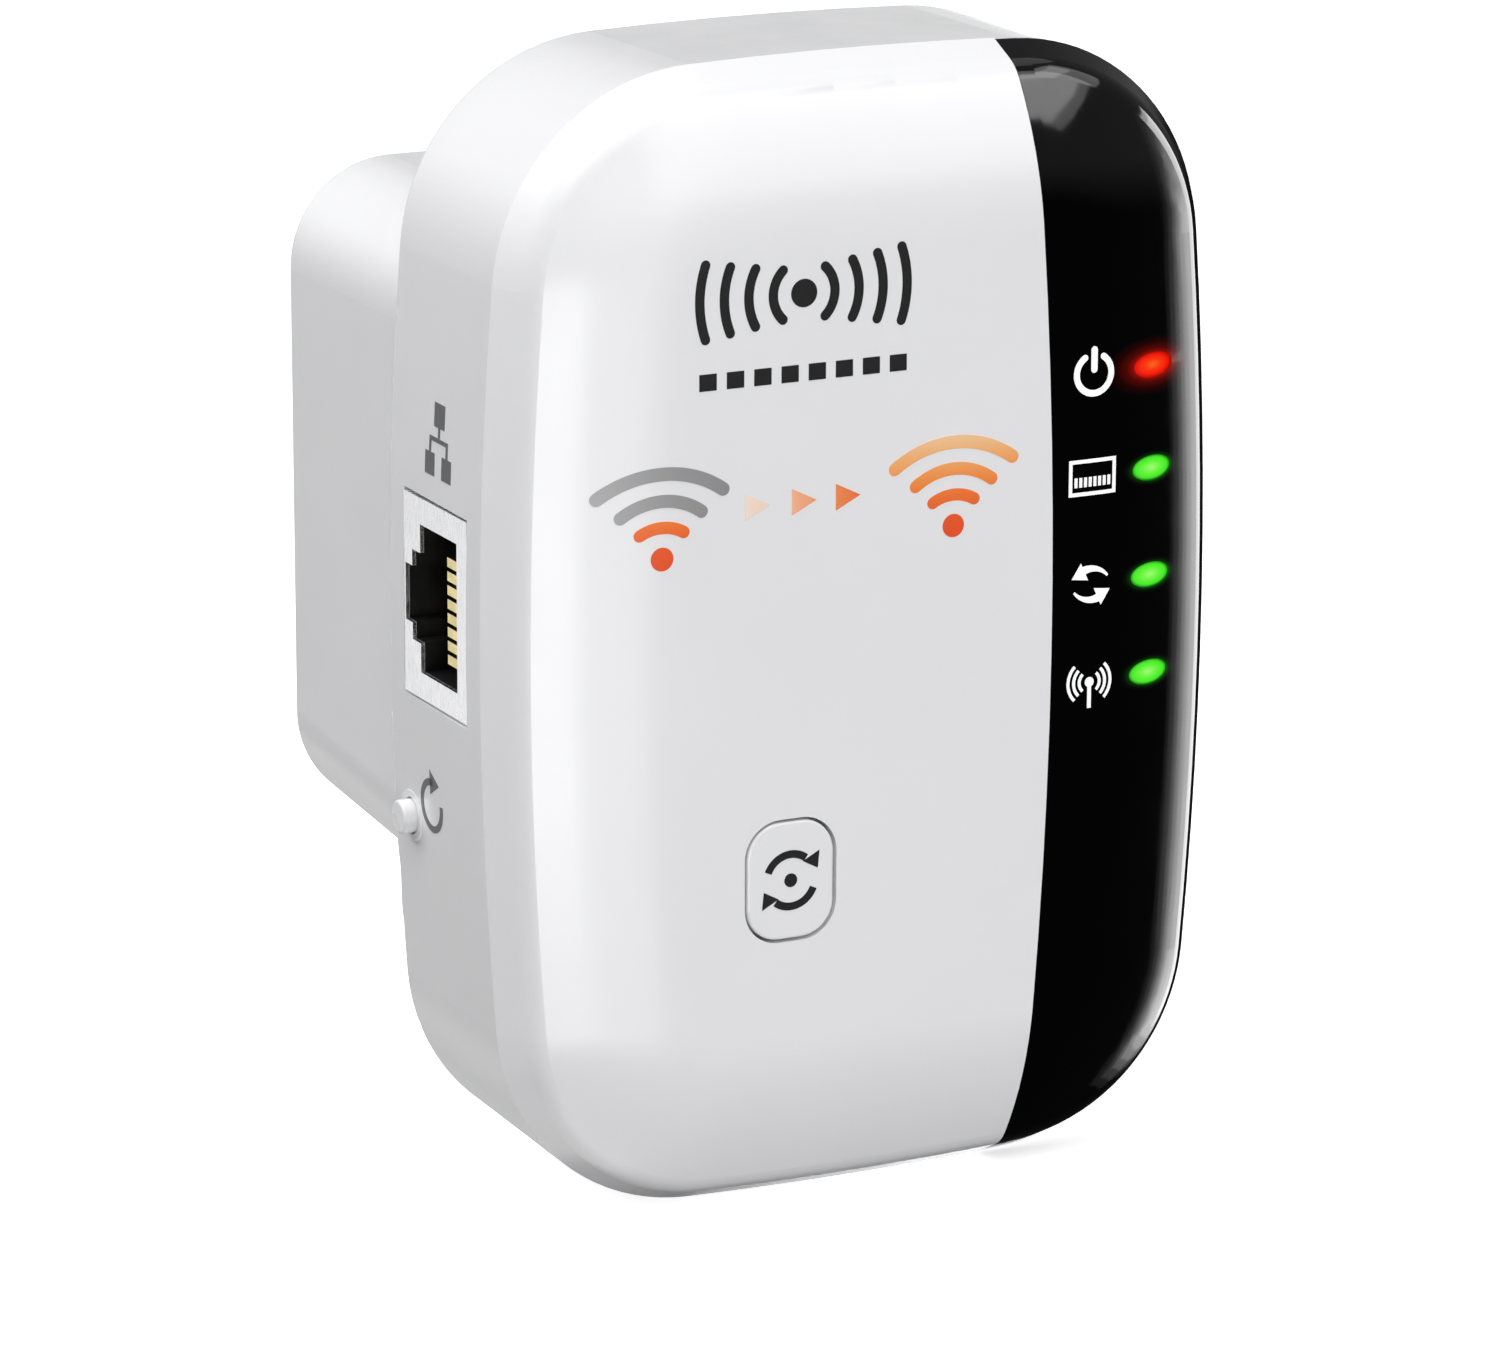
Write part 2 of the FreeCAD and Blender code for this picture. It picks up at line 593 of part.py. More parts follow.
def contact(z, grow):
    """Sprung wire: it stands up out of the front wall just inside the mouth, then runs back inwards."""
    root_y = PORT_Y[0] - CONTACT_T - grow
    top_y = PORT_Y[0] + CONTACT_RISE
    far_y = PORT_Y[0] + 0.6 * CONTACT_RISE
    x0 = JACK_FACE_X + SHIELD_T + 0.1 - grow
    x1 = JACK_FACE_X + PORT_DEEP + 1.0 + grow
    half = CONTACT_W / 2 + grow
    under = x0 + CONTACT_T + 2 * grow
    outline = ((x0, root_y), (under, root_y), (under, top_y - CONTACT_T),
               (x1, far_y - CONTACT_T - grow), (x1, far_y + grow), (x0, top_y + grow))
    points = [V(x, y, z - half) for x, y in outline]
    wire = Part.makePolygon(points + [points[0]])
    return Part.Face(wire).extrude(V(0, 0, 2 * half))


# ---- main board ----
def make_main_board(reset_body_x):
    board = rounded(0, 0, 2 * BOARD_HALF_W, 2 * BOARD_HALF_H, 13.0, BOARD_Y[0], BOARD_Y[1])
    for x, z in BOARD_POSTS:
        board = board.cut(rod(x, z, SCREW_R + 0.2, BOARD_Y[0] - 1, BOARD_Y[1] + 1))
    notch = box((-40, reset_body_x + 3.7), (BOARD_Y[0] - 1, BOARD_Y[1] + 1), (RESET_Z - 3.1, RESET_Z + 3.1))
    save("main_board", board.cut(notch))


def chip(name, x, z, w, h, tall):
    save(name, block(x, z, w, h, BOARD_Y[0] - tall, BOARD_Y[0]))


def make_heatsink(x, z, base_y):
    """Finned aluminium block on a soft pad."""
    save("thermal_pad", block(x, z, 9, 9, base_y - 0.5, base_y))
    fins = [block(x, z, 13, 13, base_y - 1.9, base_y - 0.5)]
    for index in range(6):
        fins.append(block(x - 6 + 2.4 * index, z, 1.0, 13, base_y - 6.5, base_y - 1.8))
    save("heatsink", joined(fins))


def make_chips():
    front = BOARD_Y[0]
    chip("wifi_chip", 10.5, 14, 9, 9, 0.9)
    make_heatsink(10.5, 14, front - 0.9)
    chip("memory_chip", 8.5, -7, 10, 20, 1.1)
    chip("flash_chip", 4.0, -26, 5, 6, 1.6)
    chip("crystal", -1.5, 17, 3.2, 2.5, 0.8)
    chip("lan_transformer", -6.0, 2.7, 9.5, 12.7, 5.5)
    can = block(2.0, 29, 20, 9, front - 2.6, front).cut(block(2.0, 29, 19.6, 8.6, front - 2.4, front + 1))
    save("rf_shield", can)
    capacitors = [block(x, z, 1.6, 0.8, front - 0.8, front) for x, z in small_places(16.8, 1.7)]
    resistors = [block(x, z, 0.8, 1.6, front - 0.5, front) for x, z in small_places(-14.6, 2.6)]
    save("chip_capacitors", group(capacitors))
    save("chip_resistors", group(resistors))


def small_places(x, pitch):
    """Eight places in a column of the board, above and below its middle."""
    return [(x, side * (20.0 + pitch * index)) for side in (-1, 1) for index in range(4)]


def antenna(z):
    """Stamped strip held clear of the board on two legs."""
    front = BOARD_Y[0]
    strip = box((-14, 12), (front - 6.0, front - 5.6), (z - 1.5, z + 1.5))
    legs = [box((x, x + 1.6), (front - 5.7, front), (z - 0.2, z + 0.2)) for x in (-14, -9)]
    return joined([strip] + legs)


def make_link():
    """Header that carries low voltage from the power board to the main board."""
    spacer = block(LINK_X, LINK_Z, 10.4, 2.6, BOARD_Y[1], POWER_Y[0] - 2)
    pins = []
    for index in range(4):
        x = LINK_X + (index - 1.5) * 2.54
        pin = block(x, LINK_Z, 0.64, 0.64, BOARD_Y[1], POWER_Y[0])
        pins.append(pin)
        spacer = spacer.cut(pin)
    save("link_spacer", spacer)
    save("link_pins", group(pins))


# ---- power board ----
def make_power_board():
    board = rounded(0, PLUG_Z, 2 * POWER_HALF_W, 2 * POWER_HALF_H, POWER_CORNER, *POWER_Y)
    for x, z in BOARD_POSTS:
        board = board.cut(rod(x, z, SCREW_R + 0.2, POWER_Y[0] - 1, POWER_Y[1] + 1))
    for x in SIDE_POST_X:
        board = board.cut(rod(x, PLUG_Z, SIDE_POST_R + 0.4, POWER_Y[0] - 1, POWER_Y[1] + 1))
    for _, side, _ in BLADE_HEIGHTS:
        x = side * BLADE_PITCH / 2
        board = board.cut(block(x, PLUG_Z, CLIP_T, CLIP_W, POWER_Y[0] - 1, POWER_Y[1] + 1))
    save("power_board", board)


def make_transformer(x, z):
    """Closed core with a round bobbin; the winding's axis runs along Y."""
    top = POWER_Y[0]
    yoke = ((top - 15.6, top - 13.6), (top - 2.5, top - 0.5))
    core_parts = [block(x, z, 16, 5, y0, y1) for y0, y1 in yoke]
    core_parts += [block(x + side * 7, z, 2, 5, yoke[0][0], yoke[1][1]) for side in (-1, 1)]
    core_parts.append(rod(x, z, 2.3, yoke[0][0], yoke[1][1]))
    save("transformer_core", joined(core_parts))
    low, high = yoke[0][1] + 0.1, yoke[1][0] - 0.1
    bobbin = [rod(x, z, 3.0, low, high), rod(x, z, 5.8, low, low + 0.8), rod(x, z, 5.8, high - 0.8, high)]
    bobbin += [block(x, z + side * 4.8, 12, 3.4, high - 0.8, top) for side in (-1, 1)]
    save("transformer_bobbin", joined(bobbin).cut(rod(x, z, 2.35, low - 1, high + 1)))
    winding = rod(x, z, 5.3, low + 0.85, high - 0.85).cut(rod(x, z, 3.0, low, high))
    save("transformer_winding", winding)


def can_capacitor(x, z, r, tall):
    """Round capacitor standing on the power board, with a pinched sleeve near its foot."""
    top = POWER_Y[0]
    body = rod(x, z, r, top - tall, top - 0.3)
    edge = [e for e in body.Edges if e.BoundBox.YMax < top - tall + 0.01]
    body = body.makeFillet(0.6, edge)
    groove = rod(x, z, r + 1, top - 2.3, top - 1.7).cut(rod(x, z, r - 0.3, top - 3, top - 1))
    legs = [rod(x + side * r * 0.45, z, 0.3, top - 0.4, top) for side in (-1, 1)]
    return joined([body.cut(groove)] + legs)


def on_power(x, z, w, h, tall):
    """Moulded block standing on the power board."""
    return block(x, z, w, h, POWER_Y[0] - tall, POWER_Y[0])


def axial(x, z, r, long, along_x):
    """Round part lying just above the power board on two bent legs."""
    y = POWER_Y[0] - r - 0.5
    reach = long / 2 + 1.2
    if along_x:
        body = Part.makeCylinder(r, long, V(x - long / 2, y, z), V(1, 0, 0))
        lead = Part.makeCylinder(0.35, 2 * reach, V(x - reach, y, z), V(1, 0, 0))
        feet = [rod(x + side * reach, z, 0.35, y, POWER_Y[0]) for side in (-1, 1)]
    else:
        body = Part.makeCylinder(r, long, V(x, y, z - long / 2), V(0, 0, 1))
        lead = Part.makeCylinder(0.35, 2 * reach, V(x, y, z - reach), V(0, 0, 1))
        feet = [rod(x, z + side * reach, 0.35, y, POWER_Y[0]) for side in (-1, 1)]
    return joined([body, lead] + feet)


def make_power_parts():
    top = POWER_Y[0]
    make_transformer(3.0, 6.5)
    bulk = [can_capacitor(x, z, 4.0, 12.5) for x, z in ((-14.3, 19.6), (-17.4, 10.2))]
    smoothing = [can_capacitor(x, z, 3.8, 11.5) for x, z in ((17.2, 14.2), (10.2, 20.6))]
    save("input_capacitors", group(bulk))
    save("output_capacitors", group(smoothing))
    save("bridge_rectifier", on_power(-17.0, -2.6, 8.5, 6.5, 3.2))
    save("fuse_resistor", axial(-12.6, -9.4, 1.8, 7.6, True))
    drum = joined([rod(-3.5, -10.5, 3.2, top - 8, top - 7), rod(-3.5, -10.5, 1.4, top - 8, top - 0.2),
                   rod(-3.5, -10.5, 3.2, top - 1.2, top - 0.2)])
    save("filter_inductor", drum)
    coil = rod(-3.5, -10.5, 2.8, top - 6.9, top - 1.3).cut(rod(-3.5, -10.5, 1.45, top - 8, top))
    save("inductor_winding", coil)
    disc = Part.makeCylinder(3.2, 2.6, V(5.0, top - 4.4, -11.5), V(0, 0, 1))
    legs = [rod(5.0 + side * 2.0, -10.2, 0.3, top - 3.5, top) for side in (-1, 1)]
    save("safety_capacitor", joined([disc] + legs))
    save("controller_chip", on_power(-5.2, 20.6, 9.0, 6.2, 3.4))
    save("optocoupler", on_power(13.0, -9.5, 6.4, 4.6, 3.5))
    save("output_diode", axial(17.0, 1.5, 1.5, 5.6, False))
    sheet = rounded(0, SHEET_Z, SHEET_W, SHEET_H, 3, SHEET_Y, SHEET_Y + 0.3)
    save("insulating_sheet", sheet)


os.makedirs("parts", exist_ok=True)
make_front()
make_light_guides()
make_rear_shell()
make_plug()
make_screws()
make_pairing()
make_jack()
make_main_board(make_reset())
make_chips()
save("upper_antenna", antenna(37.6))
save("lower_antenna", antenna(-37.6))
make_link()
make_power_board()
make_power_parts()
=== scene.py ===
import json
import math

import bmesh
import bpy
from mathutils import Matrix, Quaternion, Vector
from mathutils.bvhtree import BVHTree


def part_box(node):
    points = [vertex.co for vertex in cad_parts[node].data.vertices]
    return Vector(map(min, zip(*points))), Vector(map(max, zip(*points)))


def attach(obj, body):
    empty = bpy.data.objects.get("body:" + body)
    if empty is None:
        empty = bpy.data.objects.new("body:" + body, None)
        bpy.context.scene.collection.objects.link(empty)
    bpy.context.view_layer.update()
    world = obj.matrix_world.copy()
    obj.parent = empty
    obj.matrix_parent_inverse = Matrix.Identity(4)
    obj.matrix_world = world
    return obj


# Looks of the plug-in wifi range extender: finishes, prints, stage, lights and camera round the
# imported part. Everything is in metres in the part's own frame; sizes of prints are in millimetres.

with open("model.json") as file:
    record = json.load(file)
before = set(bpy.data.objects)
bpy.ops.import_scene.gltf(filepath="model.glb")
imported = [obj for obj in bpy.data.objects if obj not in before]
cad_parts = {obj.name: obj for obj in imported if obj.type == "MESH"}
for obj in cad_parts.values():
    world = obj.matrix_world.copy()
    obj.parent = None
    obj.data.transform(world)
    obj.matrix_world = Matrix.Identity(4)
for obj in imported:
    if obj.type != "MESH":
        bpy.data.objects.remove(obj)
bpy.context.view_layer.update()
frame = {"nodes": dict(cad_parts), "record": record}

MM = 0.001

# ---- places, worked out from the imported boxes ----
COVER_LOW, COVER_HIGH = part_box("front_cover")
REAR_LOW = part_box("rear_shell")[0]
BUTTON_LOW, BUTTON_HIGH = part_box("pairing_button")
PLUG_LOW, PLUG_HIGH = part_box("plug_base")
FRONT_Y = COVER_LOW.y
BODY_X = (PLUG_LOW.x + PLUG_HIGH.x) / 2
BODY_Z = (COVER_LOW.z + COVER_HIGH.z) / 2
FLOOR_Z = COVER_LOW.z
CAST_FROM = 10 * MM

# ---- the four windows ----
GUIDES = {
    "power_light_guide": "red",
    "lan_light_guide": "green",
    "sync_light_guide": "green",
    "signal_light_guide": "green",
}
# colours from a window's middle to its edge
WINDOW_LIGHT = {
    "red": [(0.0, "ff6a1e"), (0.4, "ff3a0c"), (0.8, "fb1804"), (1.0, "c40a00")],
    "green": [(0.0, "a4ff74"), (0.45, "6bfb40"), (0.85, "46ee26"), (1.0, "229a12")],
}
# reach of the light bleeding into the panel, in window radii, and its colour at the window
HALOS = {"red": (2.5, (0.26, 0.004, 0.001, 1.0)), "green": (1.5, (0.008, 0.08, 0.005, 1.0))}

# ---- the prints, in millimetres from the middle of the body ----
INK_PROUD = 0.035
INK_SUNK = 0.03
INK_CELL = 0.5
CURVE_STEPS = 28
CAP_STEPS = 8

FAN_DOT_Z = 8.55
FAN_LEFT_X = -18.85
FAN_RIGHT_X = 5.95
FAN_DOT = 1.85
# for each arc: half span, rise of its ends, rise of its top, line width
FAN_BOWS = ((5.1, 4.95, 6.6, 1.05), (3.3, 3.4, 4.5, 1.0), (1.8, 1.95, 2.45, 0.95))
ARROWS_X = (-11.9, -7.95, -4.2)
ARROW_SIZE = 2.1
ARROW_RISE = 3.3

PORT_SIGN = (-14.6, 15.8)
RESET_SIGN = (-16.4, -13.6)

MARK_MIDDLE = (-7.0, 28.0)
MARK_DOT = 2.2
MARK_ARCS = 4
MARK_LINE = 0.78
DASHES = 8
DASH = 1.45
DASH_HIGH = 1.3
DASH_PITCH = 2.3
DASH_DROP = -6.8

ICON_X = 18.2


def srgb(code):
    """Linear colour from a six-figure web colour."""
    values = []
    for i in (0, 2, 4):
        c = int(code[i:i + 2], 16) / 255
        values.append(c / 12.92 if c <= 0.04045 else ((c + 0.055) / 1.055) ** 2.4)
    return (*values, 1.0)


# ---- shader building ----
class Finish:
    """A procedural material, built node by node round one Principled shader."""

    def __init__(self, name, roughness=0.4, metallic=0.0):
        self.material = bpy.data.materials.new(name)
        self.material.use_nodes = True
        self.tree = self.material.node_tree
        self.shader = self.tree.nodes["Principled BSDF"]
        self.place = self.add("ShaderNodeTexCoord").outputs["Object"]
        self.set("Roughness", roughness)
        self.set("Metallic", metallic)

    def add(self, kind, **settings):
        node = self.tree.nodes.new(kind)
        for key, value in settings.items():
            setattr(node, key, value)
        return node

    def link(self, output, target):
        self.tree.links.new(output, target)

    def set(self, socket, value):
        self.shader.inputs[socket].default_value = value

    def feed(self, socket, output):
        self.link(output, self.shader.inputs[socket])

    def noise(self, scale, detail=3.0, stretch=(1, 1, 1)):
        """Noise over the part's own coordinates, stretched along an axis if asked."""
        mapping = self.add("ShaderNodeMapping")
        mapping.inputs["Scale"].default_value = stretch
        self.link(self.place, mapping.inputs["Vector"])
        texture = self.add("ShaderNodeTexNoise")
        texture.inputs["Scale"].default_value = scale
        texture.inputs["Detail"].default_value = detail
        self.link(mapping.outputs["Vector"], texture.inputs["Vector"])
        return texture.outputs["Fac"]

    def ramp(self, factor, stops):
        node = self.add("ShaderNodeValToRGB")
        node.color_ramp.elements[0].position = stops[0][0]
        node.color_ramp.elements[0].color = stops[0][1]
        node.color_ramp.elements[1].position = stops[-1][0]
        node.color_ramp.elements[1].color = stops[-1][1]
        for position, colour in stops[1:-1]:
            node.color_ramp.elements.new(position).color = colour
        self.link(factor, node.inputs["Fac"])
        return node.outputs["Color"]

    def spread(self, factor, low, high, start=0.0, end=1.0):
        """Maps start..end of the factor to low..high."""
        node = self.add("ShaderNodeMapRange")
        node.inputs["From Min"].default_value = start
        node.inputs["From Max"].default_value = end
        node.inputs["To Min"].default_value = low
        node.inputs["To Max"].default_value = high
        self.link(factor, node.inputs["Value"])
        return node.outputs["Result"]

    def along(self, axis):
        node = self.add("ShaderNodeSeparateXYZ")
        self.link(self.place, node.inputs["Vector"])
        return node.outputs[axis]

    def from_window(self, guide):
        """Distance from a window's middle, where 1 is the window's own oval edge."""
        low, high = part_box(guide)
        shift = self.add("ShaderNodeVectorMath", operation="SUBTRACT")
        shift.inputs[1].default_value = (low + high) / 2
        scale = self.add("ShaderNodeVectorMath", operation="MULTIPLY")
        scale.inputs[1].default_value = (2 / (high.x - low.x), 0, 2 / (high.z - low.z))
        length = self.add("ShaderNodeVectorMath", operation="LENGTH")
        self.link(self.place, shift.inputs[0])
        self.link(shift.outputs["Vector"], scale.inputs[0])
        self.link(scale.outputs["Vector"], length.inputs[0])
        return length.outputs["Value"]

    def bump(self, factor, strength, depth):
        node = self.add("ShaderNodeBump")
        node.inputs["Strength"].default_value = strength
        node.inputs["Distance"].default_value = depth
        self.link(factor, node.inputs["Height"])
        self.feed("Normal", node.outputs["Normal"])

    def mottle(self, colour, amount, scale, detail=3.0, stretch=(1, 1, 1)):
        """Base colour that drifts a little darker and lighter."""
        dark = tuple(c * (1 - amount) for c in colour[:3]) + (1.0,)
        light = tuple(min(c * (1 + amount), 1.0) for c in colour[:3]) + (1.0,)
        fac = self.noise(scale, detail, stretch)
        self.feed("Base Color", self.ramp(fac, [(0.3, dark), (0.7, light)]))

    def vary(self, low, high, scale, detail=3.0, stretch=(1, 1, 1)):
        self.feed("Roughness", self.spread(self.noise(scale, detail, stretch), low, high, 0.3, 0.7))


def white_plastic(name, rough=(0.2, 0.27)):
    look = Finish(name)
    look.mottle(srgb("f4f4f6"), 0.012, 55)
    look.vary(rough[0], rough[1], 160)
    look.set("Specular IOR Level", 0.5)
    look.set("Coat Weight", 0.8)
    look.set("Coat Roughness", 0.2)
    look.bump(look.noise(5200, 2.0), 0.12, 4e-6)
    return look.material


def black_gloss(name):
    """Gloss black with the light of the four windows bleeding into it a little way."""
    look = Finish(name)
    look.mottle((0.0008, 0.0008, 0.0009, 1.0), 0.3, 90)
    look.vary(0.05, 0.09, 220)
    look.bump(look.noise(900, 2.0), 0.05, 2e-6)
    glow = None
    for guide, hue in GUIDES.items():
        reach, colour = HALOS[hue]
        fade = look.spread(look.from_window(guide), 1.0, 0.0, 1.0, reach)
        faint = tuple(c * 0.05 for c in colour[:3]) + (1.0,)
        half = tuple(c * 0.3 for c in colour[:3]) + (1.0,)
        light = look.ramp(fade, [(0.0, (0, 0, 0, 1)), (0.4, faint), (0.75, half), (1.0, colour)])
        if glow is None:
            glow = light
        else:
            mixed = look.add("ShaderNodeVectorMath", operation="ADD")
            look.link(glow, mixed.inputs[0])
            look.link(light, mixed.inputs[1])
            glow = mixed.outputs["Vector"]
    look.feed("Emission Color", glow)
    look.set("Emission Strength", 1.0)
    return look.material


def lit_window(name, guide, hue):
    """Tinted light guide, brightest in the middle."""
    look = Finish(name)
    stops = [(place, srgb(code)) for place, code in WINDOW_LIGHT[hue]]
    look.feed("Emission Color", look.ramp(look.from_window(guide), stops))
    look.set("Emission Strength", 0.95)
    look.mottle(srgb("180404") if hue == "red" else srgb("041804"), 0.1, 900)
    look.vary(0.12, 0.22, 1500)
    return look.material


def ink(name, colour, rough=(0.32, 0.42), glow=0.0):
    look = Finish(name)
    look.mottle(colour, 0.05, 2600, 2.0)
    look.vary(rough[0], rough[1], 2200)
    look.bump(look.noise(7000, 2.0), 0.1, 3e-6)
    # painted light: a glow makes the ink shine by itself, though a print is no lamp
    if glow:
        look.set("Emission Color", colour)
        look.set("Emission Strength", glow)
    return look.material


def faded_ink(name, axis, start, end, stops):
    """Ink whose colour changes along one axis of the part."""
    look = Finish(name)
    fac = look.spread(look.along(axis), 0.0, 1.0, start, end)
    look.feed("Base Color", look.ramp(fac, stops))
    look.vary(0.32, 0.42, 2200)
    look.bump(look.noise(7000, 2.0), 0.1, 3e-6)
    return look.material


def moulded(name, colour, rough=(0.45, 0.6), grain=2400, depth=8e-6, gloss=0.45):
    look = Finish(name)
    look.mottle(colour, 0.08, 300)
    look.vary(rough[0], rough[1], 500)
    look.set("Specular IOR Level", gloss)
    look.bump(look.noise(grain, 4.0), 0.25, depth)
    return look.material


def metal(name, colour, rough=(0.2, 0.35), stretch=(1, 1, 14), grain=900, depth=3e-6):
    look = Finish(name, metallic=1.0)
    look.mottle(colour, 0.06, grain / 2, 3.0, stretch)
    look.vary(rough[0], rough[1], grain, 3.0, stretch)
    look.bump(look.noise(grain, 4.0, stretch), 0.2, depth)
    return look.material


def circuit_board(name, colour):
    """Solder mask with faint tracks under it."""
    look = Finish(name)
    cells = look.add("ShaderNodeTexVoronoi", feature="DISTANCE_TO_EDGE", distance="MANHATTAN")
    cells.inputs["Scale"].default_value = 420
    look.link(look.place, cells.inputs["Vector"])
    track = tuple(c * 1.5 for c in colour[:3]) + (1.0,)
    look.feed("Base Color", look.ramp(cells.outputs["Distance"], [(0.04, track), (0.09, colour)]))
    look.vary(0.28, 0.4, 700)
    look.bump(cells.outputs["Distance"], 0.15, 1e-5)
    return look.material


def wound(name, colour, metallic):
    """Turns of wire or tape, as fine ridges round the depth axis."""
    look = Finish(name, metallic=metallic)
    look.mottle(colour, 0.08, 500)
    look.vary(0.25, 0.4, 900)
    wave = look.add("ShaderNodeTexWave", wave_type="BANDS", bands_direction="Y")
    wave.inputs["Scale"].default_value = 700
    wave.inputs["Distortion"].default_value = 0.6
    look.link(look.place, wave.inputs["Vector"])
    look.bump(wave.outputs["Fac"], 0.4, 4e-5)
    return look.material


def make_finishes():
    """One finish for each material slot of the record."""
    colour = {}
    for material in frame["record"]["materials"]:
        colour[material["slot"]] = (*material["base_color"][:3], 1.0)
    made = {
        "white_shell": white_plastic("white_shell"),
        "white_button": white_plastic("white_button", (0.26, 0.34)),
        "black_gloss": black_gloss("black_gloss"),
        "led_resin": moulded("led_resin", colour["led_resin"], (0.1, 0.2)),
        "black_moulding": moulded("black_moulding", srgb("101011"), (0.35, 0.5)),
        "plated_blade": metal("plated_blade", srgb("dedcd6"), (0.14, 0.26), (6, 1, 6)),
        "brass_clip": metal("brass_clip", colour["brass_clip"]),
        "zinc_screw": metal("zinc_screw", colour["zinc_screw"], (0.25, 0.4), (1, 1, 1)),
        "jack_shell": metal("jack_shell", srgb("f2f2f4"), (0.2, 0.32), (1, 12, 1)),
        "gold_contact": metal("gold_contact", srgb("f6e3a4"), (0.14, 0.24), (1, 1, 1)),
        "board_green": circuit_board("board_green", colour["board_green"]),
        "board_tan": circuit_board("board_tan", colour["board_tan"]),
        "chip_epoxy": moulded("chip_epoxy", colour["chip_epoxy"], (0.5, 0.65)),
        "chip_ceramic": moulded("chip_ceramic", colour["chip_ceramic"], (0.4, 0.55), 3000),
        "thermal_pad": moulded("thermal_pad", colour["thermal_pad"], (0.6, 0.75), 1500),
        "heatsink_alloy": metal("heatsink_alloy", colour["heatsink_alloy"], (0.3, 0.45)),
        "ferrite": moulded("ferrite", colour["ferrite"], (0.4, 0.6), 1200, 2e-5),
        "winding_tape": wound("winding_tape", colour["winding_tape"], 0.0),
        "capacitor_sleeve": moulded("capacitor_sleeve", colour["capacitor_sleeve"], (0.18, 0.28), 700),
        "resistor_coat": moulded("resistor_coat", colour["resistor_coat"], (0.5, 0.6), 900),
        "copper_wire": wound("copper_wire", colour["copper_wire"], 0.8),
        "safety_coat": moulded("safety_coat", colour["safety_coat"], (0.2, 0.3), 600),
        "insulating_film": moulded("insulating_film", colour["insulating_film"], (0.3, 0.45), 400),
    }
    return made


def dress_nodes():
    """Gives every CAD node the finish of its slot, and each light guide its own glow."""
    finishes = make_finishes()
    for entry in frame["record"]["subparts"]:
        node = entry["node"]
        if node in GUIDES:
            material = lit_window("glow_" + node, node, GUIDES[node])
        else:
            material = finishes[entry["material_slot"]]
        mesh = frame["nodes"][node].data
        mesh.materials.clear()
        mesh.materials.append(material)


# ---- flat shapes for the prints, in millimetres ----
def arc_line(cx, cz, radius, start, end):
    """Points along an arc, with angles in degrees turned from the first axis."""
    line = []
    for i in range(CURVE_STEPS + 1):
        angle = math.radians(start + (end - start) * i / CURVE_STEPS)
        line.append((cx + radius * math.cos(angle), cz + radius * math.sin(angle)))
    return line


def bow_line(cx, cz, half_span, end_rise, top_rise):
    """An arc that opens downwards, known by its half span and the heights of its ends and top."""
    sag = top_rise - end_rise
    radius = (half_span ** 2 + sag ** 2) / (2 * sag)
    half_angle = math.degrees(math.asin(half_span / radius))
    return arc_line(cx, cz + top_rise - radius, radius, 90 + half_angle, 90 - half_angle)


def cap(centre, point):
    """Round end: the point swept clockwise by half a turn about the centre, ends left out."""
    dx = point[0] - centre[0]
    dz = point[1] - centre[1]
    swept = []
    for i in range(1, CAP_STEPS):
        angle = -math.pi * i / CAP_STEPS
        swept.append((centre[0] + dx * math.cos(angle) - dz * math.sin(angle),
                      centre[1] + dx * math.sin(angle) + dz * math.cos(angle)))
    return swept


def stroke(line, width, end_width=None, round_ends=True):
    """Outline of a line, even in width or tapering to end_width."""
    left = []
    right = []
    last = len(line) - 1
    end_width = width if end_width is None else end_width
    for i, (x, z) in enumerate(line):
        before = line[max(i - 1, 0)]
        after = line[min(i + 1, last)]
        dx = after[0] - before[0]
        dz = after[1] - before[1]
        half = (width + (end_width - width) * i / last) / 2 / math.hypot(dx, dz)
        left.append((x - dz * half, z + dx * half))
        right.append((x + dz * half, z - dx * half))
    if not round_ends:
        return left + right[::-1]
    return left + cap(line[-1], left[-1]) + right[::-1] + cap(line[0], right[0])


def ellipse(cx, cz, width, height):
    points = []
    for x, z in arc_line(0, 0, 0.5, 0, 360)[:-1]:
        points.append((cx + x * width, cz + z * height))
    return points


def rectangle(x0, x1, z0, z1):
    return [(x0, z0), (x1, z0), (x1, z1), (x0, z1)]


def ring(outer, inner):
    """The band between two outlines with as many points each."""
    count = len(outer)
    return [[outer[i], outer[(i + 1) % count], inner[(i + 1) % count], inner[i]] for i in range(count)]


def arrow_head(tip, direction, length, width):
    """Triangle whose tip points along the direction, in degrees."""
    angle = math.radians(direction)
    ax, az = math.cos(angle), math.sin(angle)
    bx, bz = tip[0] - ax * length, tip[1] - az * length
    half = width / 2
    return [tip, (bx - az * half, bz + ax * half), (bx + az * half, bz - ax * half)]


def turned_over(polygons, cx, cz):
    """The shapes turned by half a turn about a point."""
    return [[(2 * cx - x, 2 * cz - z) for x, z in polygon] for polygon in polygons]


# ---- prints laid on the part's own surfaces ----
class Surface:
    """The outside of some CAD nodes, seen along one direction."""

    def __init__(self, nodes, origin, first, second, look):
        vertices = []
        polygons = []
        for name in nodes:
            mesh = frame["nodes"][name].data
            start = len(vertices)
            vertices.extend(v.co.copy() for v in mesh.vertices)
            polygons.extend([start + i for i in p.vertices] for p in mesh.polygons)
        self.tree = BVHTree.FromPolygons(vertices, polygons)
        self.origin = Vector(origin)
        self.first = Vector(first)
        self.second = Vector(second)
        self.look = Vector(look)

    def meet(self, u, w):
        """Point and normal where the line of sight through (u, w) meets the surface."""
        start = self.origin + self.first * u + self.second * w - self.look * CAST_FROM
        point, normal, _, _ = self.tree.ray_cast(start, self.look)
        if normal.dot(self.look) > 0:
            normal = -normal
        return point, normal


